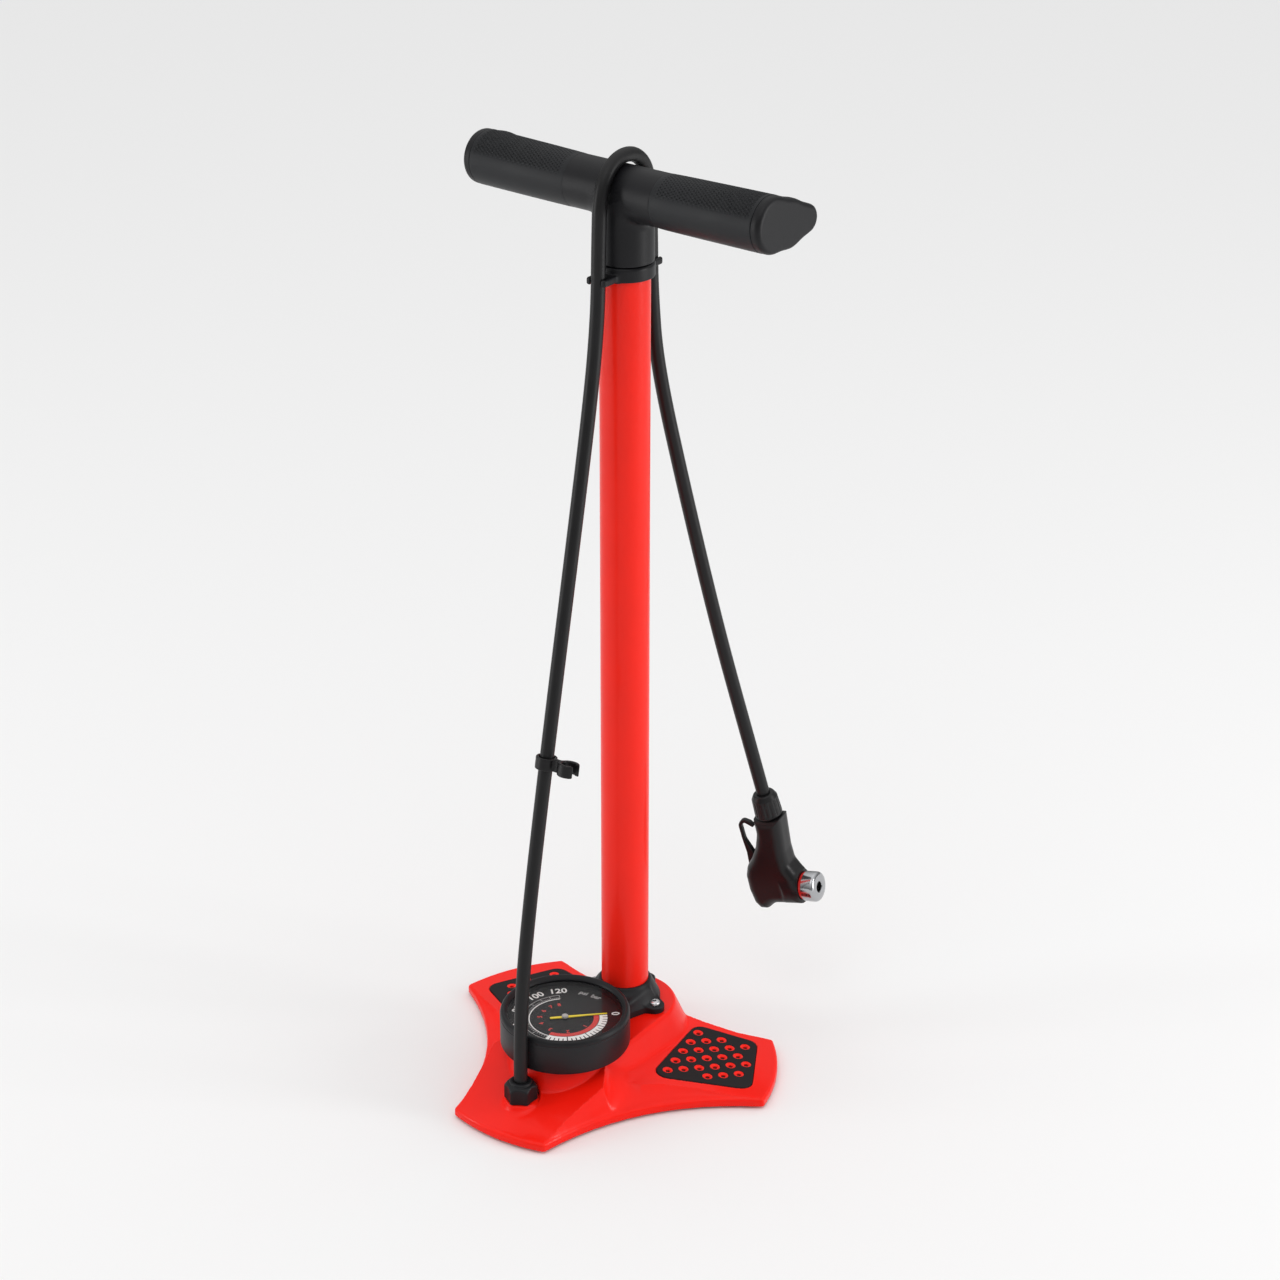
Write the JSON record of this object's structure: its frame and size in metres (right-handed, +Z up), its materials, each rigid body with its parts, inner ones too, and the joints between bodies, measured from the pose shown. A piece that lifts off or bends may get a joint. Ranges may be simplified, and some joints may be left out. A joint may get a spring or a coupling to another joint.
{
  "type": "bicycle floor pump",
  "caption": "Upright hand-operated air pump: three-legged foot base, barrel, T-handle plunger, dial gauge, and a hose stowed over the handle with a thumb-lock valve head.",
  "frame": {"origin": "on the floor, under the centre of the pump's own bounding box (base, barrel and handle, without the hose and the pump head)", "axes": "+Z up along the barrel; the gauge and the front leg point to -Y; +X is the right leg's side"},
  "size_m": [0.2752, 0.2838, 0.6887],
  "materials": {
    "red_paint": "gloss red lacquer over aluminium",
    "black_plastic": "fine satin moulding",
    "head_plastic": "satin moulding",
    "grip_rubber": "soft-touch, knurled above and below",
    "pad_rubber": "matte sheet with round holes",
    "hose_rubber": "smooth satin hose",
    "seal_rubber": "smooth",
    "lens_clear": "clear polished",
    "dial_face": "satin black with printed scale",
    "needle_yellow": "satin yellow",
    "needle_cap": "satin",
    "steel": "bright turned",
    "chrome": "polished",
    "brass": "machined",
    "nylon": "natural white",
    "red_plastic": "gloss"
  },
  "bodies": {
    "base": {"base_shell": "red_paint", "barrel": "red_paint", "hub_bracket": "black_plastic", "collar": "black_plastic", "gauge_case": "black_plastic", "gauge_bezel": "black_plastic", "hose_nut": "black_plastic", "head_nut": "head_plastic", "head_body": "head_plastic", "foot_pad_left": "pad_rubber", "foot_pad_right": "pad_rubber", "floor_feet": "pad_rubber", "hose_front_span": "hose_rubber", "hose_rear_span": "hose_rubber", "foot_o_ring": "seal_rubber", "rod_wiper": "seal_rubber", "valve_gasket": "seal_rubber", "gauge_lens": "lens_clear", "dial_plate": "dial_face", "hub_screws": "steel", "hub_nuts": "steel", "lever_pin": "steel", "check_valve_spring": "steel", "nozzle_cap": "chrome", "bourdon_tube": "brass", "gauge_socket": "brass", "gauge_movement": "brass", "hose_fitting": "brass", "head_barb": "brass", "rod_guide": "nylon", "foot_plug": "nylon", "air_pipe": "nylon", "nozzle_ring": "red_plastic"},
    "stroke": {"hose_over_handle": "hose_rubber"},
    "plunger": {"piston_rod": "steel", "piston_body": "nylon", "piston_cup": "seal_rubber", "piston_washer": "steel", "piston_bolt": "steel", "top_bumper": "seal_rubber", "handle_core": "black_plastic", "handle_pin": "steel", "grip_left": "grip_rubber", "grip_right": "grip_rubber", "end_cap_left": "black_plastic", "end_cap_right": "black_plastic"},
    "needle": {"gauge_needle": "needle_yellow", "needle_cap": "needle_cap", "needle_spindle": "brass"},
    "sector": {"gauge_sector": "brass"},
    "poppet": {"check_valve_poppet": "brass"},
    "lever": {"head_lever": "head_plastic"},
    "head_plunger": {"head_plunger": "nylon"},
    "clip": {"hose_clip": "head_plastic"}
  },
  "joints": [
    {"name": "pump_stroke", "type": "slide", "parent": "base", "child": "stroke", "axis": [0, 0, 1], "range_m": [0, 0.484]},
    {"name": "handle_turn", "type": "hinge", "parent": "stroke", "child": "plunger", "pos_m": [0, 0.0531, 0.63], "axis": [0, 0, 1], "range_deg": [-4, 16]},
    {"name": "needle_turn", "type": "hinge", "parent": "base", "child": "needle", "pos_m": [0, -0.0224, 0.0585], "axis": [0, 0, 1], "range_deg": [-270, 0]},
    {"name": "sector_turn", "type": "hinge", "parent": "base", "child": "sector", "pos_m": [0.014, -0.0224, 0.0487], "axis": [0, 0, 1], "range_deg": [0, 50.7], "stiffness_Nm_per_rad": 0.011},
    {"name": "check_valve", "type": "slide", "parent": "base", "child": "poppet", "axis": [0, 0, -1], "range_m": [0, 0.0015], "stiffness_N_per_m": 60, "springref_m": -0.002, "deforming": ["check_valve_spring"]},
    {"name": "lever_turn", "type": "hinge", "parent": "base", "child": "lever", "pos_m": [0.05205, 0.15632, 0.1122], "axis": [0.1099, -0.9802, -0.1645], "range_deg": [0, 90]},
    {"name": "plunger_press", "type": "slide", "parent": "base", "child": "head_plunger", "axis": [0.977, 0.0762, 0.1991], "range_m": [0, 0.00181]},
    {"name": "clip_turn", "type": "hinge", "parent": "base", "child": "clip", "pos_m": [0, -0.04112, 0.275], "axis": [0, 0.2025, 0.9793], "continuous": true}
  ],
  "couplings": [
    {"joint": "needle_turn", "follows": "sector_turn", "ratio": -5.3182},
    {"joint": "plunger_press", "follows": "lever_turn", "m_per_rad": 0.0011459}
  ]
}
